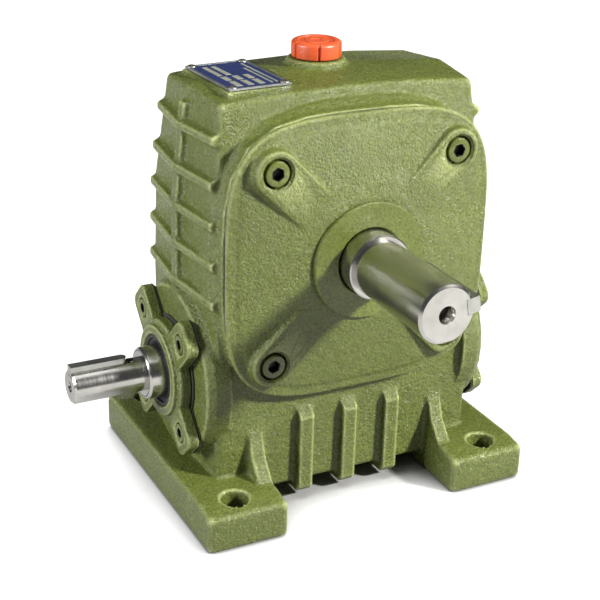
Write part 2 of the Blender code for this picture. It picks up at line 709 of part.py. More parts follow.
def make_output_shaft():
    profile = [(0.0, 45.0), (16.4, 45.0), (OUTPUT_SEAT_RADIUS, 44.2), (OUTPUT_SEAT_RADIUS, 24.5),
               (19.5, 24.5), (19.5, -18.0), (24.0, -18.0), (24.0, -28.6),
               (OUTPUT_SEAT_RADIUS, -28.6), (OUTPUT_SEAT_RADIUS, OUTPUT_SHOULDER + 0.6),
               (OUTPUT_SEAT_RADIUS - 0.6, OUTPUT_SHOULDER), (OUTPUT_RADIUS, OUTPUT_SHOULDER),
               (OUTPUT_RADIUS, OUTPUT_END + 1.4), (OUTPUT_RADIUS - 1.4, OUTPUT_END),
               (3.9, OUTPUT_END), (3.4, OUTPUT_END + 1.0), (3.4, OUTPUT_END + 14.0),
               (0.0, OUTPUT_END + 16.0)]
    shaft = turned("output_shaft", profile, "Y", (0.0, 0.0, WHEEL_HEIGHT), STEEL)
    hub_slot = boxes("shaft_hub_slot", [((-4.3, -15.3, WHEEL_HEIGHT + 15.3),
                                         (4.3, 21.3, WHEEL_HEIGHT + 30.0))])
    end_slot = boxes("shaft_end_slot", [((11.0, OUTPUT_END - 2.0, -4.3), (20.0, -82.0, 4.3))],
                     matrix=output_key_matrix())
    cut(shaft, hub_slot, end_slot)
    boxes("wheel_key", [((-4.0, -15.0, WHEEL_HEIGHT + 15.6), (4.0, 21.0, WHEEL_HEIGHT + 22.8))],
          STEEL)
    key = boxes("output_key", [((11.3, OUTPUT_END, -4.0), (18.2, -82.3, 4.0))], STEEL,
                output_key_matrix())
    bevel(key, 0.4, segments=1)
    turned("rear_spacer", ring(22.0, 17.5, 28.7, 24.8), "Y", (0.0, 0.0, WHEEL_HEIGHT), STEEL,
           sides=24, closed=True)


def make_wheel():
    half = 11.7
    profile = [(32.0, 24.2), (32.0, 5.0), (40.0, 5.0), (40.0, half), (45.0, half),
               (45.0, -half), (40.0, -half), (40.0, -5.0), (32.0, -5.0), (32.0, -17.7),
               (19.8, -17.7), (19.8, 24.2)]
    hub = turned("wheel_hub", profile, "Y", (0.0, 0.0, WHEEL_HEIGHT), IRON, closed=True)
    cut(hub, boxes("hub_slot", [((-4.3, -30.0, WHEEL_HEIGHT + 10.0),
                                 (4.3, 30.0, WHEEL_HEIGHT + 23.1))]))
    make_wheel_rim(half)


def make_wheel_rim(half_width):
    """A toothed bronze ring; its teeth lean by the worm's lead angle."""
    root = PITCH_RADIUS - 1.1 * MODULE
    tip = PITCH_RADIUS + MODULE
    half_tooth = LEAD / 4 - 0.5
    slope = math.tan(math.radians(20.0))
    flank = [(root, half_tooth + (PITCH_RADIUS - root) * slope),
             (tip, half_tooth - (tip - PITCH_RADIUS) * slope)]
    lean = LEAD / (2 * math.pi * WORM_PITCH_RADIUS) / PITCH_RADIUS

    def loop(y, bore_radius=None):
        points = []
        for tooth in range(TEETH):
            middle = 2 * math.pi * (tooth + 0.5) / TEETH + lean * y
            sides = [(r, -t / r) for r, t in flank] + [(r, t / r) for r, t in reversed(flank)]
            for radius, aside in sides:
                angle = middle + aside
                radius = bore_radius or radius
                points.append((-radius * math.sin(angle), y, WHEEL_HEIGHT - radius * math.cos(angle)))
        return points

    loops = [loop(-half_width), loop(half_width), loop(half_width, 45.3), loop(-half_width, 45.3)]
    bm = bmesh.new()
    rows = [[bm.verts.new(Vector(point) * MM) for point in points] for points in loops]
    count = len(rows[0])
    for k, row in enumerate(rows):
        after = rows[(k + 1) % len(rows)]
        for i in range(count):
            j = (i + 1) % count
            bm.faces.new((row[i], row[j], after[j], after[i]))
    bm_object("wheel_rim", bm, BRONZE)


def worm_thread_profile():
    """(offset along the axis, radius) of one thread, centred on its crest."""
    slope = math.tan(math.radians(20.0))
    half_crest = LEAD / 4 - 0.4 - (WORM_TIP_RADIUS - WORM_PITCH_RADIUS) * slope
    half_foot = LEAD / 4 - 0.4 + (WORM_PITCH_RADIUS - WORM_ROOT_RADIUS) * slope
    return [(-half_foot, WORM_ROOT_RADIUS), (-half_crest, WORM_TIP_RADIUS),
            (half_crest, WORM_TIP_RADIUS), (half_foot, WORM_ROOT_RADIUS)]


def make_worm_shaft():
    """A right-hand worm cut on a stepped shaft, as one closed surface."""
    sides = 20
    thread = worm_thread_profile()
    turns = math.ceil(WORM_HALF_LENGTH / LEAD) + 2
    columns = [(turn * LEAD + offset, radius) for turn in range(-turns, turns + 1)
               for offset, radius in thread]
    bm = bmesh.new()

    def place(x, radius, step):
        angle = 2 * math.pi * step / sides
        return bm.verts.new(Vector((x, radius * math.cos(angle),
                                    WORM_HEIGHT + radius * math.sin(angle))) * MM)

    grid = []
    for step in range(sides + 1):
        advance = LEAD * (step / sides - 0.25)
        row = []
        for offset, radius in columns:
            x = offset + advance
            if abs(x) >= WORM_HALF_LENGTH:
                x = math.copysign(WORM_HALF_LENGTH, x)
                radius = WORM_ROOT_RADIUS
            row.append(place(x, radius, step))
        grid.append(row)
    for row, after in zip(grid, grid[1:]):
        for i in range(len(columns) - 1):
            bm.faces.new((row[i], row[i + 1], after[i + 1], after[i]))

    shoulder = WORM_BEARING_START - GAP
    right = [(WORM_HALF_LENGTH, WORM_ROOT_RADIUS), (57.0, WORM_ROOT_RADIUS), (57.0, 16.5),
             (shoulder, 16.5), (shoulder, WORM_SEAT_RADIUS), (79.8, WORM_SEAT_RADIUS), (80.5, 11.5)]
    left = [(-WORM_HALF_LENGTH, WORM_ROOT_RADIUS), (-57.0, WORM_ROOT_RADIUS), (-57.0, 16.5),
            (-shoulder, 16.5), (-shoulder, WORM_SEAT_RADIUS), (COLLAR_END, WORM_SEAT_RADIUS),
            (COLLAR_END, INPUT_RADIUS), (INPUT_END + 1.0, INPUT_RADIUS),
            (INPUT_END, INPUT_RADIUS - 1.0), (INPUT_END, 2.4), (INPUT_END + 7.0, 2.4)]
    for stations in (left, right):
        rings = [[place(x, radius, step) for step in range(sides)] for x, radius in stations]
        bm.faces.new(rings[-1])
        for near, far in zip(rings, rings[1:]):
            for i in range(sides):
                j = (i + 1) % sides
                bm.faces.new((near[i], near[j], far[j], far[i]))
    bmesh.ops.remove_doubles(bm, verts=bm.verts, dist=MERGE)
    bmesh.ops.dissolve_degenerate(bm, edges=bm.edges, dist=MERGE)
    worm = bm_object("worm_shaft", bm, STEEL)
    cut(worm, boxes("input_slot", [((INPUT_END - 2.0, -3.0, WORM_HEIGHT + 6.0),
                                    (-109.5, 3.0, WORM_HEIGHT + 15.0))]))
    key = boxes("input_key", [((INPUT_END, -2.7, WORM_HEIGHT + 6.3),
                               (-109.8, 2.7, WORM_HEIGHT + 11.8))], STEEL)
    bevel(key, 0.4, segments=1)
    sleeve = [(COLLAR_RADIUS, -84.6), (COLLAR_RADIUS, COLLAR_END + 1.0),
              (COLLAR_RADIUS - 1.0, COLLAR_END), (12.5, COLLAR_END), (12.5, -84.6)]
    turned("input_wear_sleeve", sleeve, "X", (0.0, 0.0, WORM_HEIGHT), STEEL, closed=True)


# ---- Bearings and seals ------------------------------------------------------
def make_bearing(name, size, start, axis, height, wall, roller_radius):
    """Outer ring, inner ring and a caged set of rollers, each its own piece."""
    outer_radius, bore_radius, width = size
    low, high = sorted((start, start + math.copysign(width, start)))
    axis_place = (0.0, 0.0, height)
    turned(name + "_outer_ring", ring(outer_radius, outer_radius - wall, high, low), axis,
           axis_place, STEEL, closed=True)
    turned(name + "_inner_ring", ring(bore_radius + wall, bore_radius, high, low), axis,
           axis_place, STEEL, closed=True)
    pitch = (outer_radius + bore_radius) / 2
    cage = turned(name + "_rollers", ring(pitch + 1.2, pitch - 1.2, high - 1.0, low + 1.0), axis,
                  axis_place, STEEL, sides=ROLLERS * 2, closed=True)
    middle = (low + high) / 2
    bm = bmesh.new()
    for i in range(ROLLERS):
        turn = Matrix.Rotation(2 * math.pi * i / ROLLERS, 4, "Z")
        spot = Matrix.Translation(Vector((pitch, 0.0, middle)) * MM)
        bmesh.ops.create_cone(bm, cap_ends=True, segments=6, radius1=roller_radius * MM,
                              radius2=roller_radius * MM, depth=(width - 5.0) * MM,
                              matrix=axis_matrix(axis, axis_place) @ turn @ spot)
    join(cage, bm_object(name + "_roller_bodies", bm))


def make_bearings_and_seals():
    for name, side in (("output_front", -1), ("output_rear", 1)):
        make_bearing(name, OUTPUT_BEARING, side * OUTPUT_BEARING_START, "Y", WHEEL_HEIGHT, 4.5, 4.1)
    for name, side in (("worm_input", -1), ("worm_end", 1)):
        make_bearing(name, WORM_BEARING, side * WORM_BEARING_START, "X", WORM_HEIGHT, 3.5, 2.8)
    turned("output_seal", ring(25.0, 17.6, -50.5, COVER_SEAL_FACE + GAP), "Y",
           (0.0, 0.0, WHEEL_HEIGHT), RUBBER, closed=True)
    turned("input_seal", ring(19.0, 14.4, -86.3, -92.2), "X", (0.0, 0.0, WORM_HEIGHT), RUBBER,
           sides=24, closed=True)


# ---- Assembly ---------------------------------------------------------------
def move_origin_to_footprint_middle():
    middle = Vector(((INPUT_END + FOOT_SPAN / 2) / 2, (OUTPUT_END + FOOT_LENGTH / 2) / 2, 0.0))
    for thing in list(PARTS.objects) + list(CUTTERS.objects):
        thing.matrix_world = Matrix.Translation(-middle * MM) @ thing.matrix_world


make_housing()
make_output_cover()
make_output_gasket()
make_worm_cover("input_cover", -1, True)
make_worm_cover("worm_end_cover", 1, False)
make_worm_gasket("input_gasket", -1)
make_worm_gasket("worm_end_gasket", 1)
make_rear_cover()
make_screws()
make_plugs()
make_breather_cap()
make_nameplate()
make_output_shaft()
make_wheel()
make_worm_shaft()
make_bearings_and_seals()
bpy.context.view_layer.update()
move_origin_to_footprint_middle()
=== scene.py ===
"""Looks of the worm gearbox: cast and painted shells, ground shafts, cap, plate, light and camera.

Sizes are in millimetres, measured from the point on the floor under the crossing of
the two shaft axes, and ROW turns them into the frame's metres.
"""

import math

import bpy
import bmesh
from mathutils import Matrix, Vector


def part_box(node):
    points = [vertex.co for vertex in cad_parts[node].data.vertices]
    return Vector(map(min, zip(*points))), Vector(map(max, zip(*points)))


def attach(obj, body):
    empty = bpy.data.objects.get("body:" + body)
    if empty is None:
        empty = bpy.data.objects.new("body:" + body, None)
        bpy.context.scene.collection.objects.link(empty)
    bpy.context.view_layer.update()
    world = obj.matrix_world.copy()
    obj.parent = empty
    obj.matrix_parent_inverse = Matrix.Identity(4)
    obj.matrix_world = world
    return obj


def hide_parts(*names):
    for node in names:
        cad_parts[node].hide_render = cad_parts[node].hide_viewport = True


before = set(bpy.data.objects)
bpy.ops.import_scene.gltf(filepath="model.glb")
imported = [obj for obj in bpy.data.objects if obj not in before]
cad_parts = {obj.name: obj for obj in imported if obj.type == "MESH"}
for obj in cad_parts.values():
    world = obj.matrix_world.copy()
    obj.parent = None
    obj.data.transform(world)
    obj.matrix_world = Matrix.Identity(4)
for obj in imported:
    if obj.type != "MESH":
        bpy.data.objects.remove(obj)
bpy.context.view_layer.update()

MM = 0.001


def middle_of(node):
    low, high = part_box(node)
    return (low + high) / 2


WHEEL_HEIGHT = middle_of("output_seal").z / MM
WORM_HEIGHT = middle_of("input_seal").z / MM
ORIGIN = Vector((middle_of("output_seal").x, middle_of("input_seal").y, 0.0))
ROW = Matrix.Translation(ORIGIN) @ Matrix.Diagonal((MM, MM, MM, 1.0))
OUTPUT_END = (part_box("output_shaft")[0].y - ORIGIN.y) / MM
INPUT_END = (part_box("worm_shaft")[0].x - ORIGIN.x) / MM
COVER_BACK = (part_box("output_gasket")[0].y - ORIGIN.y) / MM - 0.3
EAR_FACE = 90.5
EAR_OFFSET = 25.5
BOLT_OFFSET = 51.0
PAD_FACE = -56.5
RING_FACE = -59.6
CONE_EDGE = (68.0, -51.6)       # the cover's cone: half width and depth at its rim and its top
CONE_TOP = (33.0, -57.1)
COVER_HALF = 75.0
COVER_POWER = 3.8               # squareness of the cover's outline
SPIGOT_RADIUS = 61.8
RING_RADIUS = 31.1
SHAFT_HOLE = 17.7
SEAL_POCKET = 25.3
BEARING_POCKET = (36.2, -46.5)  # radius and floor
SCREW_SEAT = (7.7, -49.8)       # radius and floor of a counterbore in the output cover
SCREW_HOLE = 4.3
REAR_BOLT_OFFSET = 29.0
PLATE_HALF = (17.0, 25.0)

ALONG = {
    "X": Matrix.Rotation(math.radians(90), 4, "Y"),
    "-X": Matrix.Rotation(math.radians(-90), 4, "Y"),
    "Y": Matrix.Rotation(math.radians(-90), 4, "X"),
    "-Y": Matrix.Rotation(math.radians(90), 4, "X"),
    "Z": Matrix.Identity(4),
}
WHEEL_PLACE = (0.0, 0.0, WHEEL_HEIGHT)
WORM_PLACE = (0.0, 0.0, WORM_HEIGHT)
TURN = 2 * math.pi


def at(axis, place=(0.0, 0.0, 0.0)):
    return Matrix.Translation(Vector(place)) @ ALONG[axis]


def corners_of(half):
    return [(a * half, b * half) for a in (-1, 1) for b in (-1, 1)]


# ---- Node materials ---------------------------------------------------------
class Nodes:
    """A material's node tree with short calls for the nodes used here."""

    def __init__(self, name):
        self.material = bpy.data.materials.new(name)
        self.material.use_nodes = True
        self.tree = self.material.node_tree
        self.shader = self.tree.nodes["Principled BSDF"]
        coordinates = self.tree.nodes.new("ShaderNodeTexCoord")
        self.place = coordinates.outputs["Object"]

    def link(self, source, target):
        self.tree.links.new(source, target)

    def stretched(self, scale):
        node = self.tree.nodes.new("ShaderNodeMapping")
        node.inputs["Scale"].default_value = scale
        self.link(self.place, node.inputs["Vector"])
        return node.outputs["Vector"]

    def noise(self, scale, detail=4.0, roughness=0.6, vector=None):
        node = self.tree.nodes.new("ShaderNodeTexNoise")
        node.inputs["Scale"].default_value = scale
        node.inputs["Detail"].default_value = detail
        node.inputs["Roughness"].default_value = roughness
        self.link(vector or self.place, node.inputs["Vector"])
        return node.outputs["Fac"]

    def spread(self, value, low, high, to_low=0.0, to_high=1.0):
        node = self.tree.nodes.new("ShaderNodeMapRange")
        node.inputs["From Min"].default_value = low
        node.inputs["From Max"].default_value = high
        node.inputs["To Min"].default_value = to_low
        node.inputs["To Max"].default_value = to_high
        self.link(value, node.inputs["Value"])
        return node.outputs["Result"]

    def mix(self, amount, first, second):
        node = self.tree.nodes.new("ShaderNodeMix")
        node.data_type = "RGBA"
        for name, value in (("A", first), ("B", second)):
            socket = [s for s in node.inputs if s.name == name and s.type == "RGBA"][0]
            if isinstance(value, tuple):
                socket.default_value = (*value, 1.0)
            else:
                self.link(value, socket)
        self.link(amount, node.inputs["Factor"])
        return [s for s in node.outputs if s.type == "RGBA"][0]

    def bump(self, height, distance, strength=1.0, before=None):
        node = self.tree.nodes.new("ShaderNodeBump")
        node.inputs["Strength"].default_value = strength
        node.inputs["Distance"].default_value = distance
        self.link(height, node.inputs["Height"])
        if before:
            self.link(before, node.inputs["Normal"])
        self.link(node.outputs["Normal"], self.shader.inputs["Normal"])
        return node.outputs["Normal"]

    def edges(self):
        geometry = self.tree.nodes.new("ShaderNodeNewGeometry")
        return geometry.outputs["Pointiness"]

    def set(self, **values):
        for name, value in values.items():
            self.shader.inputs[name.replace("_", " ")].default_value = value

    def colour(self, source):
        self.link(source, self.shader.inputs["Base Color"])

    def rough(self, source):
        self.link(source, self.shader.inputs["Roughness"])


def cast_paint(name="cast_green_paint", grain=1.0, shade=1.0, edge_highlight=True):
    """Olive enamel over sand-cast iron: crisp grain, soft dents, and edges painted paler as a painted
    highlight.
    """
    nodes = Nodes(name)
    base = tuple(shade * c for c in (0.128, 0.160, 0.031))
    patches = nodes.spread(nodes.noise(28.0, 3.0), 0.35, 0.68)
    colour = nodes.mix(patches, tuple(0.80 * c for c in base), base)
    specks = nodes.spread(nodes.noise(950.0, 2.0), 0.38, 0.54)
    colour = nodes.mix(specks, tuple(0.52 * c for c in base), colour)
    # Painted highlight: edges and corners are mixed toward a paler olive to stand in for edge glints.
    if edge_highlight:
        edges = nodes.spread(nodes.edges(), 0.512, 0.56)
        colour = nodes.mix(edges, colour, (0.38, 0.42, 0.17))
    nodes.colour(colour)
    nodes.rough(nodes.spread(nodes.noise(420.0, 3.0), 0.3, 0.7, 0.17, 0.36))
    nodes.set(Specular_IOR_Level=0.5)
    dents = nodes.bump(nodes.noise(170.0, 4.0, 0.62), 0.0010 * grain)
    nodes.bump(nodes.noise(750.0, 3.0, 0.7), 0.0009 * grain, before=dents)
    return nodes.material


def ground_steel(name, stretch, roughness=(0.15, 0.26), tint=(0.55, 0.54, 0.51)):
    """Ground steel whose fine marks run round the piece: stretch is the marks' scale per axis."""
    nodes = Nodes(name)
    marks = nodes.noise(1.0, 3.0, 0.7, nodes.stretched(stretch))
    stains = nodes.spread(nodes.noise(120.0, 3.0), 0.35, 0.7)
    nodes.colour(nodes.mix(stains, tint, tuple(0.82 * c for c in tint)))
    nodes.rough(nodes.spread(marks, 0.3, 0.7, *roughness))
    nodes.set(Metallic=1.0)
    nodes.bump(marks, 0.000006)
    return nodes.material


def plain_metal(name, colour, roughness, metallic=1.0, scale=500.0, depth=0.00006):
    nodes = Nodes(name)
    blotches = nodes.spread(nodes.noise(scale / 4, 3.0), 0.35, 0.65)
    nodes.colour(nodes.mix(blotches, tuple(0.78 * c for c in colour), colour))
    nodes.rough(nodes.spread(nodes.noise(scale, 3.0), 0.3, 0.7, roughness * 0.8, roughness * 1.25))
    nodes.set(Metallic=metallic)
    nodes.bump(nodes.noise(scale, 4.0), depth)
    return nodes.material


PAINT = cast_paint()
SMOOTH_PAINT = cast_paint("brushed_green_paint", 0.12, 0.92, False)
EVEN_PAINT = cast_paint("even_green_paint", 0.5, 1.0, False)
TURNED_Y = ground_steel("ground_steel_output", (60.0, 2600.0, 60.0))
TURNED_X = ground_steel("ground_steel_input", (2600.0, 60.0, 60.0))
KEY_STEEL = ground_steel("key_steel", (90.0, 90.0, 1500.0), (0.28, 0.42), (0.50, 0.50, 0.47))
BEARING_STEEL = plain_metal("bearing_steel", (0.55, 0.55, 0.55), 0.18)
BLACK_STEEL = plain_metal("black_oxide_steel", (0.035, 0.034, 0.032), 0.42, 0.85)
DULL_STEEL = plain_metal("dull_steel", (0.30, 0.30, 0.27), 0.45)
BRONZE = plain_metal("gear_bronze", (0.60, 0.34, 0.13), 0.30)
BARE_IRON = plain_metal("bare_iron", (0.16, 0.155, 0.15), 0.55, 0.9, 700.0, 0.0003)
RUBBER = plain_metal("seal_rubber", (0.018, 0.018, 0.019), 0.55, 0.0, 900.0)
FIBRE = plain_metal("gasket_fibre", (0.030, 0.030, 0.024), 0.85, 0.0, 1500.0, 0.0001)
ORANGE = plain_metal("orange_plastic", (0.62, 0.090, 0.026), 0.36, 0.0, 260.0, 0.00012)
PLATE_RIM = plain_metal("plate_rim", (0.42, 0.44, 0.44), 0.38, 0.9)
PLATE_BLUE = plain_metal("plate_blue", (0.022, 0.040, 0.150), 0.33, 0.3, 800.0)
PLATE_PALE = plain_metal("plate_pale", (0.42, 0.43, 0.34), 0.40, 0.4, 800.0)


# ---- Mesh helpers -------------------------------------------------------------
def add_loft(bm, sections, closed_ends=True, slot=0):
    """Join equal-length rings of points; closed_ends caps the first and the last."""
    rows = [[bm.verts.new(point) for point in section] for section in sections]
    made = []
    if closed_ends:
        made += [bm.faces.new(rows[0]), bm.faces.new(rows[-1])]
    count = len(rows[0])
    for near, far in zip(rows, rows[1:]):
        for i in range(count):
            j = (i + 1) % count
            made.append(bm.faces.new((near[i], near[j], far[j], far[i])))
    for face in made:
        face.material_index = slot


def circle(radius, z, sides):
    return [Vector((radius * math.cos(TURN * i / sides), radius * math.sin(TURN * i / sides), z))
            for i in range(sides)]


def add_turned(bm, profile, matrix, sides=96, hollow=False, slot=0):
    """A solid of revolution from (radius, height) points; hollow joins its ends into a ring."""
    sections = [[matrix @ p for p in circle(radius, height, sides)] for radius, height in profile]
    if hollow:
        rows = [[bm.verts.new(p) for p in section] for section in sections]
        for k, near in enumerate(rows):
            far = rows[(k + 1) % len(rows)]
            for i in range(sides):
                j = (i + 1) % sides
                bm.faces.new((near[i], near[j], far[j], far[i])).material_index = slot
        return
    add_loft(bm, sections, True, slot)


def rounded(profile, radius=0.6, steps=3):
    """Round every inner corner of a (radius, height) profile with a short arc."""
    points = [Vector(p) for p in profile]
    result = [points[0]]
    for before, corner, after in zip(points, points[1:], points[2:]):
        reach = min(radius, (corner - before).length * 0.45, (after - corner).length * 0.45)
        start = corner + (before - corner).normalized() * reach
        end = corner + (after - corner).normalized() * reach
        for i in range(steps + 1):
            t = i / steps
            result.append(start * (1 - t) ** 2 + corner * 2 * t * (1 - t) + end * t ** 2)
    result.append(points[-1])
    return [tuple(p) for p in result]


def finish_piece(name, bm, materials, body, nodes, sharp=32.0):
    """Turn a bmesh in millimetres into a piece of the model that rides on a body."""
    bmesh.ops.remove_doubles(bm, verts=bm.verts, dist=0.001)
    bmesh.ops.recalc_face_normals(bm, faces=bm.faces)
    mesh = bpy.data.meshes.new(name)
    bm.to_mesh(mesh)
    bm.free()
    mesh.transform(ROW)
    piece = bpy.data.objects.new(name, mesh)
    bpy.context.scene.collection.objects.link(piece)
    for material in materials:
        mesh.materials.append(material)
    mesh.shade_smooth()
    mesh.set_sharp_from_angle(angle=math.radians(sharp))
    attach(piece, body)
    if nodes:
        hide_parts(*nodes)
    return piece


def mesh_object(name, bm):
    """A scratch object in millimetres."""
    bmesh.ops.recalc_face_normals(bm, faces=bm.faces)
    mesh = bpy.data.meshes.new(name)
    bm.to_mesh(mesh)
    bm.free()
    thing = bpy.data.objects.new(name, mesh)
    bpy.context.scene.collection.objects.link(thing)
    return thing


def apply_modifiers(thing):
    """Return the evaluated mesh as a bmesh and remove the scratch object."""
    bpy.context.view_layer.update()
    evaluated = thing.evaluated_get(bpy.context.evaluated_depsgraph_get())
    bm = bmesh.new()
    bm.from_mesh(evaluated.to_mesh())
    evaluated.to_mesh_clear()
    bpy.data.objects.remove(thing)
    return bm


def cast(bm, voxel, soften, keep, cutter=None):
    """Melt overlapping solids into one skin with soft fillets, then cut machined holes."""
    thing = mesh_object("melt", bm)
    remesh = thing.modifiers.new("remesh", "REMESH")
    remesh.mode = "VOXEL"
    remesh.voxel_size = voxel
    smooth = thing.modifiers.new("soften", "SMOOTH")
    smooth.factor = 0.5
    smooth.iterations = soften
    if keep < 1.0:
        thin = thing.modifiers.new("thin", "DECIMATE")
        thin.ratio = keep
    tool = None
    if cutter:
        tool = mesh_object("machining", cutter)
        difference = thing.modifiers.new("machine", "BOOLEAN")
        difference.operation = "DIFFERENCE"
        difference.solver = "MANIFOLD"
        difference.object = tool
    result = apply_modifiers(thing)
    if tool:
        bpy.data.objects.remove(tool)
    return result


def machined(bm, cutters, solver="EXACT"):
    """Cut every cutter out of a solid without melting it first."""
    thing = mesh_object("blank", bm)
    tools = [mesh_object("tool", cutter) for cutter in cutters]
    for tool in tools:
        difference = thing.modifiers.new("machine", "BOOLEAN")
        difference.solver = solver
        difference.object = tool
    result = apply_modifiers(thing)
    for tool in tools:
        bpy.data.objects.remove(tool)
    return result


def node_bmesh(node):
    """A copy of a CAD node's mesh in millimetres."""
    bm = bmesh.new()
    bm.from_mesh(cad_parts[node].data)
    bmesh.ops.remove_doubles(bm, verts=bm.verts, dist=0.000002)
    bmesh.ops.transform(bm, matrix=ROW.inverted(), verts=bm.verts)
    return bm


# ---- Housing ---------------------------------------------------------------------
def make_housing():
    """The casting with its corners melted into small fillets."""
    bm = cast(node_bmesh("housing"), 1.0, 2, 0.30)
    finish_piece("housing_casting", bm, [PAINT], "gearbox", ["housing"], 60.0)


# ---- Output cover ------------------------------------------------------------------
def squircle(half, power, y, sides=96):
    points = []
    for i in range(sides):
        angle = TURN * i / sides
        x = math.cos(angle)
        z = math.sin(angle)
        radius = half / (abs(x) ** power + abs(z) ** power) ** (1 / power)
        points.append(Vector((radius * x, y, WHEEL_HEIGHT + radius * z)))
    return points


def add_cover_pad(bm, place):
    """The U-shaped flat round a bolt, whose straight sides run into the cone."""
    out = Vector((place[0], 0.0, place[1])).normalized()
    across = Vector((-out.z, 0.0, out.x))
    reach = Vector((place[0], 0.0, place[1])).length
    sections = []
    for y, radius in ((COVER_BACK - 2.0, 12.4), (PAD_FACE + 1.2, 11.6), (PAD_FACE, 10.7)):
        section = [out * 34.0 - across * radius, out * 34.0 + across * radius]
        for i in range(17):
            angle = math.radians(90.0 - 180.0 * i / 16)
            section.append(out * (reach + radius * math.cos(angle)) + across * radius * math.sin(angle))
        sections.append([p + Vector((0.0, y, WHEEL_HEIGHT)) for p in section])
    add_loft(bm, sections)


def make_output_cover():
    """The square cone, its bolt pads and spigot melt together; the ring stays crisp."""
    half = COVER_HALF
    rim = squircle(CONE_EDGE[0], COVER_POWER, CONE_EDGE[1])
    top = squircle(CONE_TOP[0], 2.0, CONE_TOP[1])
    sections = [squircle(half - 0.4, COVER_POWER, COVER_BACK - 0.1),
                squircle(half, COVER_POWER, COVER_BACK - 0.6), squircle(half, COVER_POWER, -49.3),
                squircle(half - 0.9, COVER_POWER, -50.2), squircle(half - 5.0, COVER_POWER, -50.5)]
    sections += [[a.lerp(b, step / 6) for a, b in zip(rim, top)] for step in range(7)]
    bm = bmesh.new()
    add_loft(bm, sections)
    for place in corners_of(BOLT_OFFSET):
        add_cover_pad(bm, place)
    add_turned(bm, [(0.5, -28.5), (44.0, -28.5), (44.0, -51.0), (0.5, -51.0)], at("Y", WHEEL_PLACE))
    add_turned(bm, [(SPIGOT_RADIUS, -41.0), (SPIGOT_RADIUS, -49.0), (54.0, -49.0), (54.0, -41.0)],
               at("Y", WHEEL_PLACE), 96, True)
    cutter = bmesh.new()
    radius, floor = BEARING_POCKET
    bore = [(SEAL_POCKET, -70.0), (SEAL_POCKET, floor), (radius, floor), (radius, -20.0)]
    add_turned(cutter, bore, at("Y", WHEEL_PLACE))
    for x, z in corners_of(BOLT_OFFSET):
        radius, floor = SCREW_SEAT
        pocket = [(radius + 1.2, -70.0), (radius + 1.2, PAD_FACE + 0.2), (radius, PAD_FACE + 1.0),
                  (radius, floor), (SCREW_HOLE, floor), (SCREW_HOLE, -35.0)]
        add_turned(cutter, pocket, at("Y", (x, 0.0, WHEEL_HEIGHT + z)), 48)
    bm = cast(bm, 0.75, 2, 0.38, cutter)
    ring = [(RING_RADIUS, -53.5), (RING_RADIUS, RING_FACE + 0.5), (RING_RADIUS - 0.5, RING_FACE),
            (SHAFT_HOLE + 0.7, RING_FACE), (SHAFT_HOLE, RING_FACE + 0.7), (SHAFT_HOLE, -57.3),
            (SEAL_POCKET - 0.1, -57.3), (SEAL_POCKET - 0.1, -53.5)]
    add_turned(bm, ring, at("Y", WHEEL_PLACE), 96, True, 1)
    finish_piece("output_cover_casting", bm, [PAINT, EVEN_PAINT], "gearbox",
                 ["output_cover"], 40.0)


# ---- Worm covers --------------------------------------------------------------------
def star_outline(reach=47.0, half_width=10.0, disc=27.6, corner=5.5):
    """(y, z) points of a disc with four round-cornered ears."""
    spread = math.asin(half_width / disc)
    points = []
    for arm in range(4):
        angle = math.radians(45.0 + 90.0 * arm)
        out = Vector((math.cos(angle), math.sin(angle)))
        across = Vector((-out.y, out.x))
        for i in range(6):
            between = angle - math.radians(45) + (math.radians(45) - spread) * i / 5
            points.append(Vector((math.cos(between), math.sin(between))) * disc)
        for sign in (-1, 1):
            for i in range(7):
                t = math.radians(90.0 * i / 6)
                if sign < 0:
                    along, aside = math.sin(t), -math.cos(t)
                else:
                    along, aside = math.cos(t), math.sin(t)
                points.append(out * (reach - corner + corner * along)
                              + across * (sign * (half_width - corner) + corner * aside))
        for i in range(5):
            between = angle + spread + (math.radians(45) - spread) * i / 5
            points.append(Vector((math.cos(between), math.sin(between))) * disc)
    return points


def make_worm_cover(node, side, open_middle):
    outline = star_outline()
    sections = []
    for x, inset in ((84.2, 0.0), (EAR_FACE - 0.9, 0.0), (EAR_FACE, 0.9)):
        sections.append([Vector((side * x, p.x * (1 - inset / p.length), WORM_HEIGHT
                                 + p.y * (1 - inset / p.length))) for p in outline])
    bm = bmesh.new()
    add_loft(bm, sections)
    axis = "X" if side > 0 else "-X"
    disc = [(0.5, 86.0), (25.4, 86.0), (25.0, EAR_FACE), (24.6, EAR_FACE + 0.6), (24.5, 92.5),
            (24.0, 93.0), (0.5, 93.0)]
    add_turned(bm, disc, at(axis, WORM_PLACE))
    add_turned(bm, [(0.5, 80.1), (25.6, 80.1), (25.6, 86.0), (0.5, 86.0)], at(axis, WORM_PLACE))
    cutter = bmesh.new()
    bore = [(20.5, 70.0), (20.5, 84.5)]
    if open_middle:
        bore += [(16.5, 84.5), (16.5, 86.0), (19.3, 86.0), (19.3, 92.2), (20.2, 93.1), (20.2, 99.0)]
    add_turned(cutter, bore, at(axis, WORM_PLACE))
    for y, z in corners_of(EAR_OFFSET):
        pocket = [(3.3, 75.0), (3.3, 87.0), (5.5, 87.0), (5.5, EAR_FACE - 0.6), (6.3, EAR_FACE + 0.1),
                  (6.3, 99.0)]
        add_turned(cutter, pocket, at(axis, (0.0, y, WORM_HEIGHT + z)), 40)
    bm = cast(bm, 0.7, 2, 0.40, cutter)
    finish_piece(node + "_casting", bm, [PAINT], "gearbox", [node], 45.0)


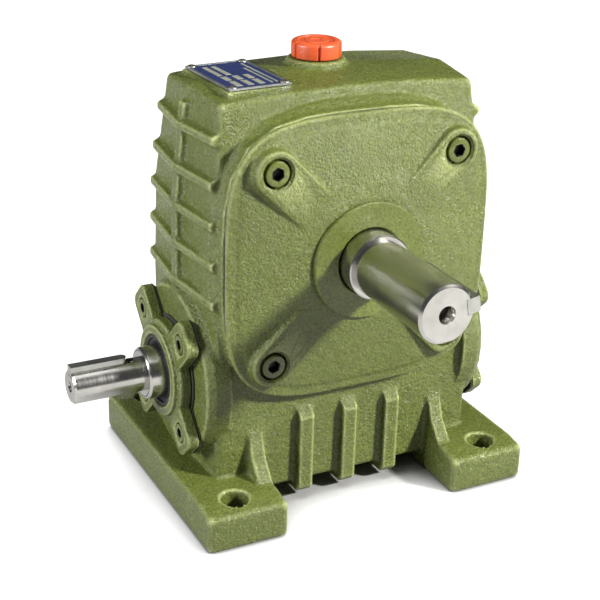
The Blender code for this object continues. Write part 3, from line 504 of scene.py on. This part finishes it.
def make_rear_cover():
    bm = bmesh.new()
    profile = [(0.5, 62.0), (24.5, 62.0), (28.5, 58.6), (45.2, 58.0), (46.0, 57.2), (46.0, 51.4),
               (35.6, 51.4), (35.6, 46.5), (30.0, 46.5), (30.0, 53.0), (0.5, 53.0)]
    add_turned(bm, rounded(profile, 1.2), at("Y", WHEEL_PLACE))
    cutter = bmesh.new()
    for x, z in corners_of(REAR_BOLT_OFFSET):
        pocket = [(3.3, 40.0), (3.3, 55.5), (5.6, 55.5), (5.6, 70.0)]
        add_turned(cutter, pocket, at("Y", (x, 0.0, WHEEL_HEIGHT + z)), 40)
    bm = machined(bm, [cutter], "MANIFOLD")
    finish_piece("rear_cover_casting", bm, [PAINT], "gearbox", ["rear_cover"])


# ---- Screws, plugs and rivets ------------------------------------------------------
def hexagon(radius, z, sides=48):
    """A hexagon drawn with as many points as a circle."""
    points = []
    for i in range(sides):
        angle = TURN * i / sides
        off = (angle % (TURN / 6)) - TURN / 12
        reach = radius * math.cos(TURN / 12) / math.cos(off)
        points.append(Vector((reach * math.cos(angle), reach * math.sin(angle), z)))
    return points


def add_socket_screw(bm, matrix, head, height, shank, length, socket):
    """A screw whose head's top is at the matrix's origin; the socket is the second slot."""
    sides = 48
    sections = [hexagon(socket, -height * 0.6), hexagon(socket, -0.35), hexagon(socket + 0.35, 0.0),
                circle(head - 0.9, 0.0, sides), circle(head - 0.3, -0.25, sides),
                circle(head, -0.9, sides), circle(head, -height, sides),
                circle(shank, -height, sides), circle(shank, -height - length, sides)]
    rows = [[bm.verts.new(matrix @ p) for p in section] for section in sections]
    bm.faces.new(rows[0]).material_index = 1
    bm.faces.new(rows[-1])
    for k, (near, far) in enumerate(zip(rows, rows[1:])):
        for i in range(sides):
            j = (i + 1) % sides
            bm.faces.new((near[i], near[j], far[j], far[i])).material_index = 1 if k < 2 else 0


def make_screws():
    rings = {
        "output_cover": ("-Y", [(x, PAD_FACE + 0.4, WHEEL_HEIGHT + z) for x, z in corners_of(BOLT_OFFSET)],
                         (6.5, 6.2, 3.9, 15.0, 3.3)),
        "input_cover": ("-X", [(-EAR_FACE, y, WORM_HEIGHT + z) for y, z in corners_of(EAR_OFFSET)],
                        (5.0, 3.2, 2.9, 16.0, 2.7)),
        "worm_end_cover": ("X", [(EAR_FACE, y, WORM_HEIGHT + z) for y, z in corners_of(EAR_OFFSET)],
                           (5.0, 3.2, 2.9, 16.0, 2.7)),
        "rear_cover": ("Y", [(x, 59.0, WHEEL_HEIGHT + z) for x, z in corners_of(REAR_BOLT_OFFSET)],
                       (5.0, 3.2, 2.9, 16.0, 2.7)),
    }
    for cover, (axis, places, sizes) in rings.items():
        for number, place in enumerate(places, 1):
            bm = bmesh.new()
            spin = Matrix.Rotation(math.radians(17.0 * number), 4, "Z")
            add_socket_screw(bm, at(axis, place) @ spin, *sizes)
            node = f"{cover}_screw_{number}"
            finish_piece(node + "_head", bm, [SMOOTH_PAINT, BLACK_STEEL], "gearbox", [node])


def make_plugs():
    for node in ("drain_plug", "level_plug"):
        centre = (middle_of(node) - ORIGIN) / MM
        base = (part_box(node)[1].y - ORIGIN.y) / MM - 6.5
        place = (centre.x, base, centre.z)
        bm = bmesh.new()
        sections = [circle(3.2, 5.7, 48), circle(5.2, 6.3, 48), circle(6.4, 6.5, 48), hexagon(7.7, 5.9),
                    hexagon(8.0, 5.4), hexagon(8.0, 0.9), circle(6.9, 0.3, 48), circle(5.7, 0.3, 48),
                    circle(5.7, -9.0, 48)]
        add_loft(bm, [[at("Y", place) @ p for p in section] for section in sections])
        finish_piece(node + "_hex", bm, [DULL_STEEL], "gearbox", [node])


# ---- Cap and nameplate ---------------------------------------------------------------
def make_breather_cap():
    """A moulded cap with small slots round its side and stepped rings on top."""
    bm = bmesh.new()
    centre = (middle_of("breather_cap") - ORIGIN) / MM
    place = Matrix.Translation((centre.x, centre.y, 0.0))
    sides = 180
    slots = 6
    profile = [(0.5, 219.0), (6.1, 219.0), (6.1, 229.8), (11.9, 229.8), (12.9, 230.3), (13.1, 231.0),
               (13.1, 236.6), (12.9, 237.4), (12.3, 238.0), (11.4, 238.4), (9.6, 238.5), (9.2, 237.9),
               (6.4, 237.9), (6.0, 238.3), (3.2, 238.3), (2.8, 237.8), (0.5, 237.8)]
    sections = []
    for radius, height in profile:
        section = []
        for i in range(sides):
            angle = TURN * i / sides
            turn = ((angle / TURN * slots + 0.35) % 1.0 - 0.5) * TURN / slots * 13.1
            slotted = radius > 12.0 and abs(turn) < 0.75
            reach = radius - 0.9 if slotted else radius
            section.append(place @ Vector((reach * math.cos(angle), reach * math.sin(angle), height)))
        sections.append(section)
    add_loft(bm, sections)
    finish_piece("breather_cap_moulding", bm, [ORANGE], "cap", ["breather_cap"])


def add_slab(bm, low, high, matrix, slot, bevel=0.0):
    """A thin slab with a bevelled top edge."""
    sections = []
    for z, inset in ((low[2], 0.0), (high[2] - bevel, 0.0), (high[2], bevel)):
        corners = [(low[0] + inset, low[1] + inset), (high[0] - inset, low[1] + inset),
                   (high[0] - inset, high[1] - inset), (low[0] + inset, high[1] - inset)]
        sections.append([matrix @ Vector((x, y, z)) for x, y in corners])
    add_loft(bm, sections, True, slot)


def make_nameplate():
    """A thin sheet with a raised rim, a blue field and plain pale cells in place of print."""
    wide, deep = PLATE_HALF
    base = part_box("nameplate")[0].z / MM
    matrix = Matrix.Translation((-47.0, 0.5, base)) @ Matrix.Rotation(math.radians(3.0), 4, "Z")
    bm = bmesh.new()
    add_slab(bm, (-wide, -deep, 0.0), (wide, deep, 0.55), matrix, 0, 0.15)
    rim = deep - 1.4
    for low, high in (((-wide, -deep), (wide, -rim)), ((-wide, rim), (wide, deep)),
                      ((-wide, -rim), (1.3 - wide, rim)), ((wide - 1.3, -rim), (wide, rim))):
        add_slab(bm, (*low, 0.5), (*high, 0.98), matrix, 0, 0.12)
    add_slab(bm, (-15.4, -23.3, 0.5), (15.4, 23.3, 0.72), matrix, 1, 0.05)
    rows = [(-10.6, -20.0, 9.0, 3.2), (-4.2, -20.0, 9.0, 3.2), (2.0, -20.0, 9.0, 3.2),
            (-10.6, -8.6, 7.0, 3.2), (-4.2, -8.6, 7.0, 3.2), (2.0, -8.6, 7.0, 3.2),
            (-10.6, 1.0, 18.0, 2.6), (-5.6, 1.0, 18.0, 2.6), (8.4, -20.0, 30.0, 1.1),
            (11.4, -20.0, 39.0, 1.1)]
    for x, y, length, width in rows:
        add_slab(bm, (x, y, 0.6), (x + width, y + length, 0.86), matrix, 2, 0.04)
    finish_piece("nameplate_sheet", bm, [PLATE_RIM, PLATE_BLUE, PLATE_PALE], "gearbox",
                 ["nameplate"])
    for number in range(1, 5):
        node = f"nameplate_rivet_{number}"
        centre = (middle_of(node) - ORIGIN) / MM
        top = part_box(node)[1].z / MM
        bm = bmesh.new()
        dome = [(2.4 * math.cos(math.radians(a)), top - 1.0 + math.sin(math.radians(a)))
                for a in range(85, -1, -17)]
        profile = dome + [(2.4, top - 1.0), (1.2, top - 1.0), (1.2, top - 6.3)]
        add_turned(bm, profile, at("Z", (centre.x, centre.y, 0.0)), 32)
        finish_piece(node + "_dome", bm, [DULL_STEEL], "gearbox", [node])


# ---- Shafts -----------------------------------------------------------------------------
def slot_solid(start, end, half_width, low, high, matrix):
    """A keyway or key outline with its inner end round: start is the shaft's end."""
    section = [(start, -half_width), (start, half_width)]
    toward = 1.0 if end > start else -1.0
    middle = end - toward * half_width
    for i in range(13):
        angle = math.radians(90.0 - 180.0 * i / 12)
        section.append((middle + toward * half_width * math.cos(angle), half_width * math.sin(angle)))
    bm = bmesh.new()
    add_loft(bm, [[matrix @ Vector((along, across, height)) for along, across in section]
                  for height in (low, high)])
    return bm


def key_frame(axis, place, turn):
    """A frame whose X runs along the shaft and whose Z points out through the key."""
    if axis == "Y":
        basis = Matrix(((0, 0, 1, 0), (1, 0, 0, 0), (0, 1, 0, 0), (0, 0, 0, 1)))
        spin = Matrix.Rotation(math.radians(turn), 4, "Y")
    else:
        basis = Matrix.Identity(4)
        spin = Matrix.Rotation(math.radians(turn), 4, "X")
    return Matrix.Translation(place) @ spin @ basis


def make_output_shaft():
    profile = [(0.5, 45.0), (16.4, 45.0), (17.2, 44.2), (17.2, 24.5), (19.5, 24.5), (19.5, -18.0),
               (24.0, -18.0), (24.0, -28.6), (17.2, -28.6), (17.2, -69.4), (16.6, -70.0), (15.0, -70.0),
               (15.0, OUTPUT_END + 1.3), (13.7, OUTPUT_END), (4.6, OUTPUT_END), (3.4, OUTPUT_END + 2.2),
               (3.2, OUTPUT_END + 14.0), (0.5, OUTPUT_END + 16.0)]
    bm = bmesh.new()
    add_turned(bm, profile, at("Y", WHEEL_PLACE), 128)
    outer = key_frame("Y", WHEEL_PLACE, -10.0)
    slots = [slot_solid(OUTPUT_END - 3.0, -81.7, 4.1, 11.0, 25.0, outer)]
    hub_slot = bmesh.new()
    add_loft(hub_slot, [[Vector((x, y, WHEEL_HEIGHT + z)) for x, y in
                         ((-4.3, -15.3), (4.3, -15.3), (4.3, 21.3), (-4.3, 21.3))] for z in (15.3, 30.0)])
    bm = machined(bm, slots + [hub_slot])
    finish_piece("output_shaft_turned", bm, [TURNED_Y], "output", ["output_shaft"])
    key = slot_solid(OUTPUT_END, -82.3, 4.0, 11.3, 18.2, outer)
    bevel_and_finish(key, "output_key_bar", "output", "output_key")


def bevel_and_finish(bm, name, body, node):
    edges = [e for e in bm.edges if e.is_manifold and e.calc_face_angle(0) > math.radians(50)]
    bmesh.ops.recalc_face_normals(bm, faces=bm.faces)
    bmesh.ops.bevel(bm, geom=edges, offset=0.35, segments=2, profile=0.5, affect="EDGES")
    finish_piece(name, bm, [KEY_STEEL], body, [node])


def add_worm_thread(bm, half_length, root, tip, pitch_radius, lead, sides=64):
    """The threaded stretch as one open sleeve whose ends sit on the root."""
    slope = math.tan(math.radians(20.0))
    crest = lead / 4 - 0.4 - (tip - pitch_radius) * slope
    foot = lead / 4 - 0.4 + (pitch_radius - root) * slope
    thread = [(-foot, root), (-crest, tip), (crest, tip), (foot, root)]
    turns = math.ceil(half_length / lead) + 2
    columns = [(k * lead + offset, radius) for k in range(-turns, turns + 1)
               for offset, radius in thread]
    grid = []
    for step in range(sides + 1):
        advance = lead * (step / sides - 0.25)
        angle = TURN * step / sides
        row = []
        for offset, radius in columns:
            x = offset + advance
            if abs(x) >= half_length:
                x = math.copysign(half_length, x)
                radius = root
            row.append(bm.verts.new((x, radius * math.cos(angle),
                                     WORM_HEIGHT + radius * math.sin(angle))))
        grid.append(row)
    for row, after in zip(grid, grid[1:]):
        for i in range(len(columns) - 1):
            bm.faces.new((row[i], row[i + 1], after[i + 1], after[i]))


def make_worm_shaft():
    root = 13.3
    half = 30.0
    bm = bmesh.new()
    add_worm_thread(bm, half, root, 21.0, 17.5, math.pi * 3.5)
    right = [(half, root), (57.0, root), (57.0, 16.5), (64.4, 16.5), (64.4, 12.2), (79.8, 12.2),
             (80.5, 11.5)]
    left = [(-half, root), (-57.0, root), (-57.0, 16.5), (-64.4, 16.5), (-64.4, 12.2),
            (-101.5, 12.2), (-101.5, 9.2), (INPUT_END + 1.0, 9.2), (INPUT_END, 8.2),
            (INPUT_END, 3.0), (INPUT_END + 1.6, 2.4), (INPUT_END + 7.0, 2.2)]
    sides = 64
    for stations in (left, right):
        rows = [[bm.verts.new((x, radius * math.cos(TURN * i / sides),
                               WORM_HEIGHT + radius * math.sin(TURN * i / sides)))
                 for i in range(sides)] for x, radius in stations]
        bm.faces.new(rows[-1])
        for near, far in zip(rows, rows[1:]):
            for i in range(sides):
                j = (i + 1) % sides
                bm.faces.new((near[i], near[j], far[j], far[i]))
    bmesh.ops.remove_doubles(bm, verts=bm.verts, dist=0.01)
    bmesh.ops.dissolve_degenerate(bm, edges=bm.edges, dist=0.01)
    frame_of_key = key_frame("X", WORM_PLACE, 0.0)
    bm = machined(bm, [slot_solid(INPUT_END - 3.0, -106.0, 2.9, 6.0, 16.0, frame_of_key)])
    finish_piece("worm_shaft_turned", bm, [TURNED_X], "worm", ["worm_shaft"])
    key = slot_solid(INPUT_END, -109.8, 2.7, 6.3, 11.8, frame_of_key)
    bevel_and_finish(key, "input_key_bar", "worm", "input_key")
    sleeve = bmesh.new()
    profile = [(14.0, -84.6), (14.0, -100.3), (13.0, -101.5), (12.5, -101.5), (12.5, -84.6)]
    add_turned(sleeve, rounded(profile + profile[:1], 0.3)[:-1], at("X", WORM_PLACE), 96, True)
    finish_piece("input_sleeve_ground", sleeve, [TURNED_X], "worm", ["input_wear_sleeve"])


def make_seals():
    for name, axis, place, faces, inner, outer in (
            ("output_seal", "Y", WHEEL_PLACE, (-50.5, -56.9), 17.5, 25.0),
            ("input_seal", "X", WORM_PLACE, (-86.3, -92.2), 14.3, 19.0)):
        low, high = sorted(faces)
        middle = (inner + outer) / 2
        profile = [(outer, high), (outer, low), (middle + 1.0, low), (middle + 0.4, low + 1.2),
                   (middle - 0.8, low + 1.2), (inner + 0.9, low + 0.2), (inner, low + 1.2),
                   (inner + 0.8, low + 2.2), (inner + 0.4, high)]
        bm = bmesh.new()
        add_turned(bm, profile, at(axis, place), 96, True)
        finish_piece(name + "_lip", bm, [RUBBER], "gearbox", [name])


# ---- CAD nodes that stay -----------------------------------------------------------------
def dress_cad_nodes():
    kinds = {
        "gasket": FIBRE, "outer_ring": BEARING_STEEL, "inner_ring": BEARING_STEEL,
        "rollers": BEARING_STEEL, "wheel_hub": BARE_IRON, "wheel_rim": BRONZE,
        "wheel_key": KEY_STEEL, "rear_spacer": KEY_STEEL,
    }
    for name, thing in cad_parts.items():
        for part, material in kinds.items():
            if part in name:
                for slot in thing.material_slots:
                    slot.material = material


# ---- Stage, light and camera ----------------------------------------------------------------
def make_floor():
    bm = bmesh.new()
    bmesh.ops.create_grid(bm, x_segments=1, y_segments=1, size=6.0)
    mesh = bpy.data.meshes.new("floor")
    bm.to_mesh(mesh)
    bm.free()
    floor = bpy.data.objects.new("floor", mesh)
    floor.location.z = -0.0002
    bpy.context.scene.collection.objects.link(floor)
    pale = Nodes("pale_floor")
    pale.set(Base_Color=(0.28, 0.28, 0.28, 1.0), Roughness=0.9, Emission_Color=(1.0, 1.0, 1.0, 1.0))
    # The floor glows for camera rays as a white backdrop. For glossy rays it glows at half strength as a
    # painted reflection in the steel and paint.
    path = pale.tree.nodes.new("ShaderNodeLightPath")
    seen = pale.tree.nodes.new("ShaderNodeMath")
    seen.operation = "MULTIPLY_ADD"
    seen.inputs[1].default_value = 0.5
    pale.link(path.outputs["Is Glossy Ray"], seen.inputs[0])
    pale.link(path.outputs["Is Camera Ray"], seen.inputs[2])
    # Painted shade: the floor's glow is scaled down by ambient occlusion, so it darkens under and around
    # the gearbox and inside its holes.
    contact_shade_ao = pale.tree.nodes.new("ShaderNodeAmbientOcclusion")
    contact_shade_ao.inputs["Distance"].default_value = 0.05
    glow = pale.tree.nodes.new("ShaderNodeMath")
    glow.operation = "MULTIPLY"
    pale.link(seen.outputs["Value"], glow.inputs[0])
    pale.link(pale.spread(contact_shade_ao.outputs["AO"], 0.35, 0.75), glow.inputs[1])
    pale.link(glow.outputs["Value"], pale.shader.inputs["Emission Strength"])
    mesh.materials.append(pale.material)


def add_light(name, spot, target, power, size, colour=(1.0, 1.0, 1.0)):
    light = bpy.data.lights.new(name, "AREA")
    light.energy = power
    light.shape = "RECTANGLE"
    light.size = size[0]
    light.size_y = size[1]
    light.color = colour
    thing = bpy.data.objects.new(name, light)
    thing.location = spot
    thing.rotation_euler = (Vector(target) - Vector(spot)).to_track_quat("-Z", "Y").to_euler()
    bpy.context.scene.collection.objects.link(thing)


def make_camera():
    """A short telephoto view from the front left, a little above the roof."""
    azimuth = math.radians(27.43)
    elevation = math.radians(23.6)
    roll = math.radians(1.68)
    distance = 769.8
    aim = (-7.4, -14.3)             # right of and above a point at mid height
    back = Vector((-math.sin(azimuth) * math.cos(elevation),
                   -math.cos(azimuth) * math.cos(elevation), math.sin(elevation)))
    right = Vector((math.cos(azimuth), -math.sin(azimuth), 0.0))
    up = back.cross(right)
    look = Vector((0.0, 0.0, 110.0)) + aim[0] * right + aim[1] * up
    camera = bpy.data.cameras.new("camera")
    camera.sensor_width = 36.0
    camera.lens = 84.534
    camera.clip_start = 0.01
    thing = bpy.data.objects.new("camera", camera)
    turned_right = right * math.cos(roll) + up * math.sin(roll)
    turned_up = up * math.cos(roll) - right * math.sin(roll)
    basis = Matrix((turned_right, turned_up, back)).transposed().to_4x4()
    thing.matrix_world = Matrix.Translation(ROW @ (look + back * distance)) @ basis
    bpy.context.scene.collection.objects.link(thing)
    bpy.context.scene.camera = thing


def make_light():
    scene = bpy.context.scene
    scene.view_settings.view_transform = "Standard"
    world = bpy.data.worlds.new("studio")
    world.use_nodes = True
    background = world.node_tree.nodes["Background"]
    background.inputs["Color"].default_value = (0.95, 0.97, 1.0, 1.0)
    background.inputs["Strength"].default_value = 0.09
    scene.world = world
    centre = Vector((0.0, 0.0, 0.12)) + ORIGIN

    def spot(azimuth, elevation, distance):
        """A point seen from the middle: azimuth turns from the output shaft's end to the right."""
        turn = math.radians(azimuth)
        rise = math.radians(elevation)
        return centre + distance * Vector((math.sin(turn) * math.cos(rise),
                                           -math.cos(turn) * math.cos(rise), math.sin(rise)))

    add_light("key", spot(41.0, 30.0, 1.4), centre, 48.0, (0.15, 0.15), (1.0, 0.98, 0.93))
    add_light("left", spot(-92.0, 18.0, 1.3), centre, 19.0, (0.35, 0.35))
    add_light("top", spot(-20.0, 80.0, 1.2), centre, 3.0, (0.7, 0.7))


make_housing()
make_output_cover()
make_worm_cover("input_cover", -1, True)
make_worm_cover("worm_end_cover", 1, False)
make_rear_cover()
make_screws()
make_plugs()
make_breather_cap()
make_nameplate()
make_output_shaft()
make_worm_shaft()
make_seals()
dress_cad_nodes()
make_floor()
make_camera()
make_light()
